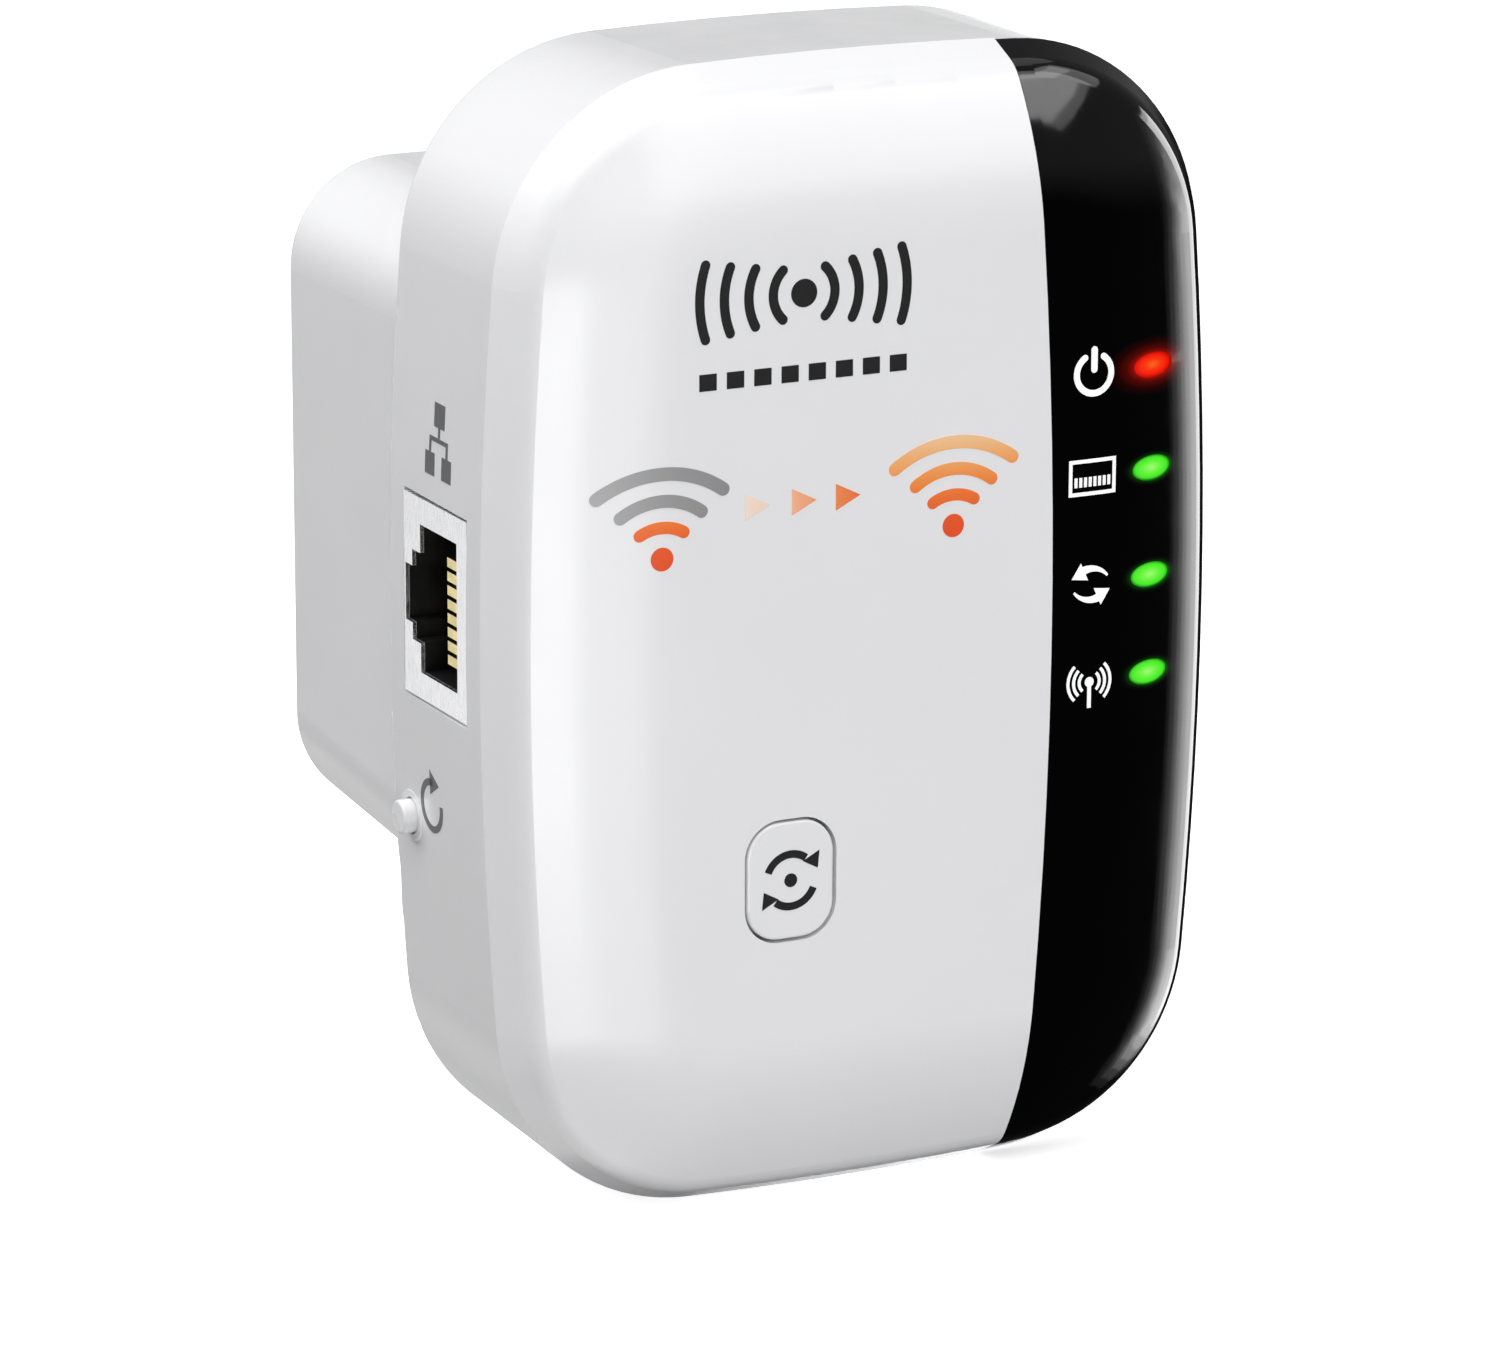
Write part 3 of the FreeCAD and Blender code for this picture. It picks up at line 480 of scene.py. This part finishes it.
def cut_to_cells(bm):
    """Cuts the flat shapes along a grid, so that they can follow a curved surface."""
    cell = INK_CELL * MM
    for axis in (0, 1):
        values = [v.co[axis] for v in bm.verts]
        normal = (1, 0, 0) if axis == 0 else (0, 1, 0)
        for k in range(math.floor(min(values) / cell) + 1, math.ceil(max(values) / cell)):
            at = tuple(n * k * cell for n in normal)
            bmesh.ops.bisect_plane(bm, geom=bm.verts[:] + bm.edges[:] + bm.faces[:],
                                   plane_co=at, plane_no=normal, dist=1e-8)


def printed(name, polygons, surface, body, material):
    """A thin layer of ink: the flat shapes laid on the surface, closed all round."""
    bm = bmesh.new()
    for polygon in polygons:
        bm.faces.new([bm.verts.new((u * MM, w * MM, 0)) for u, w in polygon])
    bmesh.ops.remove_doubles(bm, verts=bm.verts[:], dist=1e-7)
    cut_to_cells(bm)
    bmesh.ops.remove_doubles(bm, verts=bm.verts[:], dist=2e-6)
    bmesh.ops.triangulate(bm, faces=bm.faces[:])
    raised = bmesh.ops.extrude_face_region(bm, geom=bm.faces[:])["geom"]
    top = {v for v in raised if isinstance(v, bmesh.types.BMVert)}
    for vertex in bm.verts:
        point, normal = surface.meet(vertex.co.x, vertex.co.y)
        lift = INK_PROUD if vertex in top else -INK_SUNK
        vertex.co = point + normal * lift * MM
    bmesh.ops.recalc_face_normals(bm, faces=bm.faces[:])
    mesh = bpy.data.meshes.new(name)
    bm.to_mesh(mesh)
    bm.free()
    mesh.materials.append(material)
    piece = bpy.data.objects.new(name, mesh)
    bpy.context.scene.collection.objects.link(piece)
    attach(piece, body)
    return piece


def fan(dot_x, dot_z, bows):
    """Arcs of a signal fan above a dot."""
    shapes = []
    for half_span, end_rise, top_rise, width in bows:
        shapes.append(stroke(bow_line(dot_x, dot_z, half_span, end_rise, top_rise), width))
    return shapes


def make_fans(face):
    grey = faded_ink("ink_grey", "X", -24.5 * MM, -13.5 * MM,
                     [(0.0, srgb("b4b4b4")), (0.5, srgb("a0a0a0")), (1.0, srgb("929292"))])
    base = (BODY_Z + FAN_DOT_Z * MM)
    warm = faded_ink("ink_orange", "Z", base - 1 * MM, base + 7 * MM,
                     [(0.0, srgb("f2521c")), (0.2, srgb("f2581e")), (0.42, srgb("fb762c")),
                      (0.6, srgb("fd9644")), (0.8, srgb("ffb470")), (1.0, srgb("ffcf9c"))])
    peach = faded_ink("ink_peach", "X", ARROWS_X[0] * MM, (ARROWS_X[2] + ARROW_SIZE) * MM,
                      [(0.0, srgb("ffe9da")), (0.25, srgb("ffdcc4")), (0.45, srgb("ffb68c")),
                       (0.7, srgb("fb9a60")), (1.0, srgb("f47432"))])
    dot = ellipse(FAN_LEFT_X, FAN_DOT_Z, FAN_DOT, FAN_DOT)
    printed("left_fan_far_arcs", fan(FAN_LEFT_X, FAN_DOT_Z, FAN_BOWS[:2]), face, "casing", grey)
    printed("left_fan_near_arc", fan(FAN_LEFT_X, FAN_DOT_Z, FAN_BOWS[2:]) + [dot], face, "casing", warm)
    dot = ellipse(FAN_RIGHT_X, FAN_DOT_Z, FAN_DOT, FAN_DOT)
    printed("right_fan", fan(FAN_RIGHT_X, FAN_DOT_Z, FAN_BOWS) + [dot], face, "casing", warm)
    arrows = []
    for x in ARROWS_X:
        middle = FAN_DOT_Z + ARROW_RISE
        arrows.append(arrow_head((x + ARROW_SIZE, middle), 0, ARROW_SIZE, ARROW_SIZE))
    printed("direction_arrows", arrows, face, "casing", peach)


def make_mark(face):
    """A plain broadcast sign over a row of dashes, where the real thing has its name."""
    black = ink("ink_black", srgb("0c0c0d"))
    cx, cz = MARK_MIDDLE
    shapes = [ellipse(cx, cz, MARK_DOT, MARK_DOT)]
    for index in range(MARK_ARCS):
        radius = 2.6 + 2.05 * index
        spread = math.degrees(math.asin((1.9 + 0.32 * index) / radius))
        shapes.append(stroke(arc_line(cx, cz, radius, -spread, spread), MARK_LINE))
        shapes.append(stroke(arc_line(cx, cz, radius, 180 - spread, 180 + spread), MARK_LINE))
    printed("signal_mark", shapes, face, "casing", black)
    low = cz + DASH_DROP
    starts = spaced(cx, DASHES, DASH_PITCH, DASH)
    dashes = [rectangle(x, x + DASH, low, low + DASH_HIGH) for x in starts]
    printed("signal_mark_dashes", dashes, face, "casing", black)


def spaced(middle, count, pitch, width):
    """Left edges of a row of equal things, centred on the middle."""
    return [middle + (index - (count - 1) / 2) * pitch - width / 2 for index in range(count)]


def power_icon(cx, cz):
    shapes = [stroke(arc_line(cx, cz, 1.55, 122, 418), 0.52)]
    shapes.append(stroke([(cx, cz + 0.35), (cx, cz + 1.9)], 0.56))
    return shapes


def port_icon(cx, cz):
    outer = rectangle(cx - 2.1, cx + 2.1, cz - 1.45, cz + 1.45)
    inner = rectangle(cx - 1.8, cx + 1.8, cz - 1.15, cz + 1.15)
    shapes = ring(outer, inner)
    for left in spaced(cx, 8, 0.42, 0.26):
        shapes.append(rectangle(left, left + 0.26, cz - 0.75, cz + 0.02))
    return shapes


def sync_icon(cx, cz):
    """Two bowed arrows that run past each other."""
    body = stroke(arc_line(cx, cz - 0.7, 1.95, 40, 112), 0.18, 0.68, round_ends=False)
    head = arrow_head((cx - 1.72, cz + 0.52), 205, 1.25, 1.55)
    arrow = [body, head]
    return arrow + turned_over(arrow, cx, cz)


def antenna_icon(cx, cz):
    shapes = [ellipse(cx, cz, 0.8, 0.8)]
    shapes.append(rectangle(cx - 0.17, cx + 0.17, cz - 2.1, cz - 0.36))
    for radius, spread in ((0.9, 48), (1.4, 46), (1.9, 46)):
        shapes.append(stroke(arc_line(cx, cz, radius, -spread, spread), 0.26, round_ends=False))
        shapes.append(stroke(arc_line(cx, cz, radius, 180 - spread, 180 + spread), 0.26, round_ends=False))
    return shapes


def make_panel_icons(face):
    # the white icons carry a faint painted glow on top of their white ink
    white = ink("ink_white", srgb("fafafa"), glow=0.25)
    makers = {"power_light_guide": power_icon, "lan_light_guide": port_icon,
              "sync_light_guide": sync_icon, "signal_light_guide": antenna_icon}
    for guide, maker in makers.items():
        low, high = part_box(guide)
        height = ((low.z + high.z) / 2 - BODY_Z) / MM
        name = guide.replace("light_guide", "icon")
        printed(name, maker(ICON_X, height), face, "casing", white)


def make_button_icon(face):
    """Two plain arrows that chase each other round a dot."""
    cx, cz = face_place(BUTTON_LOW, BUTTON_HIGH)
    arc = stroke(arc_line(cx, cz, 2.1, 158, 52), 0.62, round_ends=False)
    head = arrow_head((cx + 2.32, cz + 0.72), -62, 1.2, 1.6)
    arrow = [arc, head]
    shapes = arrow + turned_over(arrow, cx, cz) + [ellipse(cx, cz, 1.1, 1.1)]
    printed("pairing_icon", shapes, face, "pairing_button", ink("ink_button", srgb("101011")))


def face_place(low, high):
    """Middle of a box on the front, in millimetres from the middle of the body."""
    return ((low.x + high.x) / 2 - BODY_X) / MM, ((low.z + high.z) / 2 - BODY_Z) / MM


def make_side_labels(side):
    """Small plain signs beside the port and the reset button. The first axis runs to the front."""
    grey = ink("ink_label", srgb("6a6a6c"))
    cy, cz = PORT_SIGN
    shapes = [rectangle(cy - 1.0, cy + 1.0, cz + 1.0, cz + 2.9)]
    for side_y in (-1.6, 1.6):
        shapes.append(rectangle(cy + side_y - 0.9, cy + side_y + 0.9, cz - 2.9, cz - 1.1))
        shapes.append(rectangle(cy + side_y - 0.18, cy + side_y + 0.18, cz - 1.08, cz - 0.2))
    shapes.append(rectangle(cy - 1.78, cy + 1.78, cz - 0.18, cz + 0.18))
    shapes.append(rectangle(cy - 0.18, cy + 0.18, cz + 0.2, cz + 0.98))
    printed("port_label", shapes, side, "casing", grey)
    cy, cz = RESET_SIGN
    shapes = [stroke(arc_line(cy, cz, 1.9, 70, 370), 0.55, round_ends=False)]
    shapes.append(arrow_head((cy + 1.5, cz + 1.9), 0, 1.7, 2.0))
    printed("reset_label", shapes, side, "casing", grey)


def make_prints():
    origin = (BODY_X, FRONT_Y, BODY_Z)
    front = Surface(["front_cover", "black_panel"], origin, (1, 0, 0), (0, 0, 1), (0, 1, 0))
    button = Surface(["pairing_button"], origin, (1, 0, 0), (0, 0, 1), (0, 1, 0))
    side = Surface(["rear_shell"], (REAR_LOW.x, FRONT_Y, BODY_Z), (0, -1, 0), (0, 0, 1), (1, 0, 0))
    make_fans(front)
    make_mark(front)
    make_panel_icons(front)
    make_button_icon(button)
    make_side_labels(side)


# ---- studio ----
# Lights on all but the panel: name, turns and lifts covered (degrees), radiance, distance (metres).
# Turns go from the front to the left, lifts from level to up.
BODY_LIGHTS = (
    ("front_left", (12, 34), (-24, -2), 4.2, 0.5),
    ("front_left_high", (12, 36), (-2, 20), 0.55, 0.5),
    ("front_middle", (-12, 10), (-26, -4), 1.7, 0.6),
    ("front_middle_high", (-12, 12), (-4, 24), 0.8, 0.6),
    ("front_right", (-52, -14), (-24, 6), 0.26, 1.0),
    ("front_right_high", (-52, -8), (8, 40), 1.5, 1.0),
    ("overhead", (60, 100), (56, 92), 3.3, 0.6),
    ("overhead_front", (-30, 50), (40, 70), 1.2, 0.8),
    ("overhead_back", (110, 150), (18, 50), 4.1, 0.6),
    ("back_left", (110, 150), (-44, -10), 0.7, 0.6),
    ("under_left", (40, 110), (-88, -52), 0.85, 0.8),
    ("under_front", (-20, 20), (-75, -40), 0.22, 0.8),
    ("right_side", (-150, -96), (-34, 8), 1.7, 1.0),
    ("back", (166, 216), (-34, 8), 0.6, 1.0),
)
# Lights on the panel alone: name, turns, lifts, radiance, roll (degrees)
PANEL_LIGHTS = (
    ("panel_strip_1", (-100, -66.5), (-44, 20), 0.12, 9),
    ("panel_strip_2", (-100, -68.5), (-42, 20), 0.33, 9),
    ("panel_strip_3", (-100, -70.5), (-40, 20), 0.8, 9),
    ("panel_strip_4", (-100, -72), (-38, 20), 1.4, 9),
    ("panel_strip_5", (-100, -73.5), (-36, 20), 1.8, 9),
    ("panel_strip_6", (-100, -75), (-34, 18), 1.9, 9),
    ("panel_strip_7", (-100, -77), (-32, 18), 1.4, 9),
    ("panel_wedge_whole", (-80, -30), (29, 47.5), 1.6, 27),
    ("panel_wedge_right", (-56, -28.5), (26, 43), 2.6, 27),
    ("panel_wedge_top", (-70, -27), (39, 49), 2.0, 27),
    ("panel_wedge_rim", (-90, -30), (60, 84), 0.6, 0),
)
# Lights on bare metal alone: name, turns, lifts, radiance, nodes
METAL_LIGHTS = (
    ("port_glint", (128, 178), (-40, 10), 0.62, ("jack_shield", "jack_contacts")),
    ("port_fill", (50, 124), (-40, 30), 0.55, ("jack_shield", "jack_contacts")),
    ("blade_fill_left", (95, 170), (-50, 40), 0.8, ("blade_live", "blade_neutral")),
    ("blade_fill_right", (-170, -95), (-50, 40), 0.8, ("blade_live", "blade_neutral")),
)

BACKDROP = 0.9
TENT_LOW = 0.02
TENT_HIGH = 0.2
HORIZON = (0.47, 0.56)
FLOOR_HALF = 5.0
FLOOR_GLOW = 0.6

# ---- camera: angles in degrees, distance in metres, scale in image points a metre ----
VIEW_TURN = 26.81
VIEW_TILT = 14.65
VIEW_ROLL = 0.33
VIEW_DISTANCE = 0.548
VIEW_SCALE = 12750
VIEW_AIM = (-4.82 * MM, -6.25 * MM)
IMAGE_WIDE = 1500
SENSOR = 36.0
AIM_DEPTH = 12.32 * MM


def view_axes():
    """Line of sight, right and up of the camera."""
    turn = math.radians(VIEW_TURN)
    tilt = math.radians(VIEW_TILT)
    roll = math.radians(VIEW_ROLL)
    ahead = Vector((math.sin(turn) * math.cos(tilt), math.cos(turn) * math.cos(tilt), -math.sin(tilt)))
    right = Vector((math.cos(turn), -math.sin(turn), 0))
    up = right.cross(ahead)
    rolled_right = right * math.cos(roll) + up * math.sin(roll)
    rolled_up = up * math.cos(roll) - right * math.sin(roll)
    return ahead, rolled_right, rolled_up


def make_camera():
    ahead, right, up = view_axes()
    middle = Vector((BODY_X, FRONT_Y + AIM_DEPTH, BODY_Z))
    spot = middle - ahead * VIEW_DISTANCE
    aim = middle + right * VIEW_AIM[0] + up * VIEW_AIM[1]
    back = (spot - aim).normalized()
    side = up.cross(back).normalized()
    over = back.cross(side)
    camera = bpy.data.objects.new("camera", bpy.data.cameras.new("camera"))
    camera.matrix_world = Matrix.Translation(spot) @ Matrix((side, over, back)).transposed().to_4x4()
    camera.data.sensor_width = SENSOR
    camera.data.lens = VIEW_SCALE * VIEW_DISTANCE * SENSOR / IMAGE_WIDE
    camera.data.clip_start = 0.01
    camera.data.clip_end = 50
    bpy.context.scene.collection.objects.link(camera)
    bpy.context.scene.camera = camera


def softbox(name, turns, lifts, radiance, distance=1.0, roll=0.0):
    """A soft rectangular light that fills some angles round the part."""
    turn = math.radians(sum(turns) / 2)
    lift = math.radians(sum(lifts) / 2)
    middle = Vector((BODY_X, FRONT_Y + AIM_DEPTH, BODY_Z))
    away = Vector((-math.sin(turn) * math.cos(lift), -math.cos(turn) * math.cos(lift), math.sin(lift)))
    data = bpy.data.lights.new(name, "AREA")
    data.shape = "RECTANGLE"
    data.size = 2 * distance * math.tan(math.radians(turns[1] - turns[0]) / 2)
    data.size_y = 2 * distance * math.tan(math.radians(lifts[1] - lifts[0]) / 2)
    data.energy = radiance * math.pi * data.size * data.size_y
    light = bpy.data.objects.new(name, data)
    light.location = middle + away * distance
    light.rotation_mode = "QUATERNION"
    level = (-away).to_track_quat("-Z", "Y")
    light.rotation_quaternion = level @ Quaternion((0, 0, 1), math.radians(roll))
    light.visible_camera = False
    bpy.context.scene.collection.objects.link(light)
    return light


def flag(light, nodes, state):
    """A studio flag: the light falls only on some CAD nodes (INCLUDE) or on all but them (EXCLUDE)."""
    group = bpy.data.collections.new("flag_" + light.name)
    for node in nodes:
        group.objects.link(frame["nodes"][node])
    for entry in group.collection_objects:
        entry.light_linking.link_state = state
    light.light_linking.receiver_collection = group


def make_world():
    """A tent that is dim below the horizon, behind a pale backdrop that only the camera sees."""
    world = bpy.data.worlds.new("studio")
    world.use_nodes = True
    bpy.context.scene.world = world
    tree = world.node_tree
    place = tree.nodes.new("ShaderNodeTexCoord")
    parts = tree.nodes.new("ShaderNodeSeparateXYZ")
    ramp = tree.nodes.new("ShaderNodeValToRGB")
    half = tree.nodes.new("ShaderNodeMapRange")
    half.inputs["From Min"].default_value = -1
    tree.links.new(place.outputs["Generated"], parts.inputs["Vector"])
    tree.links.new(parts.outputs["Z"], half.inputs["Value"])
    tree.links.new(half.outputs["Result"], ramp.inputs["Fac"])
    seen = tree.nodes.new("ShaderNodeLightPath")
    backdrop = tree.nodes.new("ShaderNodeMix")
    backdrop.data_type = "RGBA"
    backdrop.inputs["B"].default_value = (BACKDROP, BACKDROP, BACKDROP, 1)
    tree.links.new(seen.outputs["Is Camera Ray"], backdrop.inputs["Factor"])
    tree.links.new(ramp.outputs["Color"], backdrop.inputs["A"])
    tree.links.new(backdrop.outputs["Result"], tree.nodes["Background"].inputs["Color"])
    ramp.color_ramp.elements[0].position = HORIZON[0]
    ramp.color_ramp.elements[0].color = (*[TENT_LOW] * 3, 1)
    ramp.color_ramp.elements[1].position = HORIZON[1]
    ramp.color_ramp.elements[1].color = (*[TENT_HIGH] * 3, 1)


def make_floor():
    """A pale floor that doesn't throw light back up at the part."""
    mesh = bpy.data.meshes.new("floor")
    signs = ((-1, -1), (1, -1), (1, 1), (-1, 1))
    corners = [(sx * FLOOR_HALF, sy * FLOOR_HALF, FLOOR_Z) for sx, sy in signs]
    mesh.from_pydata(corners, [], [(0, 1, 2, 3)])
    floor = bpy.data.objects.new("floor", mesh)
    bpy.context.scene.collection.objects.link(floor)
    look = Finish("floor_white", roughness=0.9)
    look.mottle((0.97, 0.97, 0.97, 1), 0.005, 2)
    look.set("Specular IOR Level", 0.0)
    look.set("Emission Color", (1, 1, 1, 1))
    look.set("Emission Strength", FLOOR_GLOW)
    mesh.materials.append(look.material)
    floor.visible_diffuse = False
    floor.visible_glossy = False
    floor.visible_shadow = False


def make_studio():
    make_world()
    make_floor()
    for name, turns, lifts, radiance, distance in BODY_LIGHTS:
        flag(softbox(name, turns, lifts, radiance, distance), ["black_panel"], "EXCLUDE")
    for name, turns, lifts, radiance, roll in PANEL_LIGHTS:
        flag(softbox(name, turns, lifts, radiance, roll=roll), ["black_panel"], "INCLUDE")
    for name, turns, lifts, radiance, nodes in METAL_LIGHTS:
        flag(softbox(name, turns, lifts, radiance), nodes, "INCLUDE")
    bpy.context.scene.view_settings.view_transform = "Standard"


dress_nodes()
make_prints()
make_studio()
make_camera()
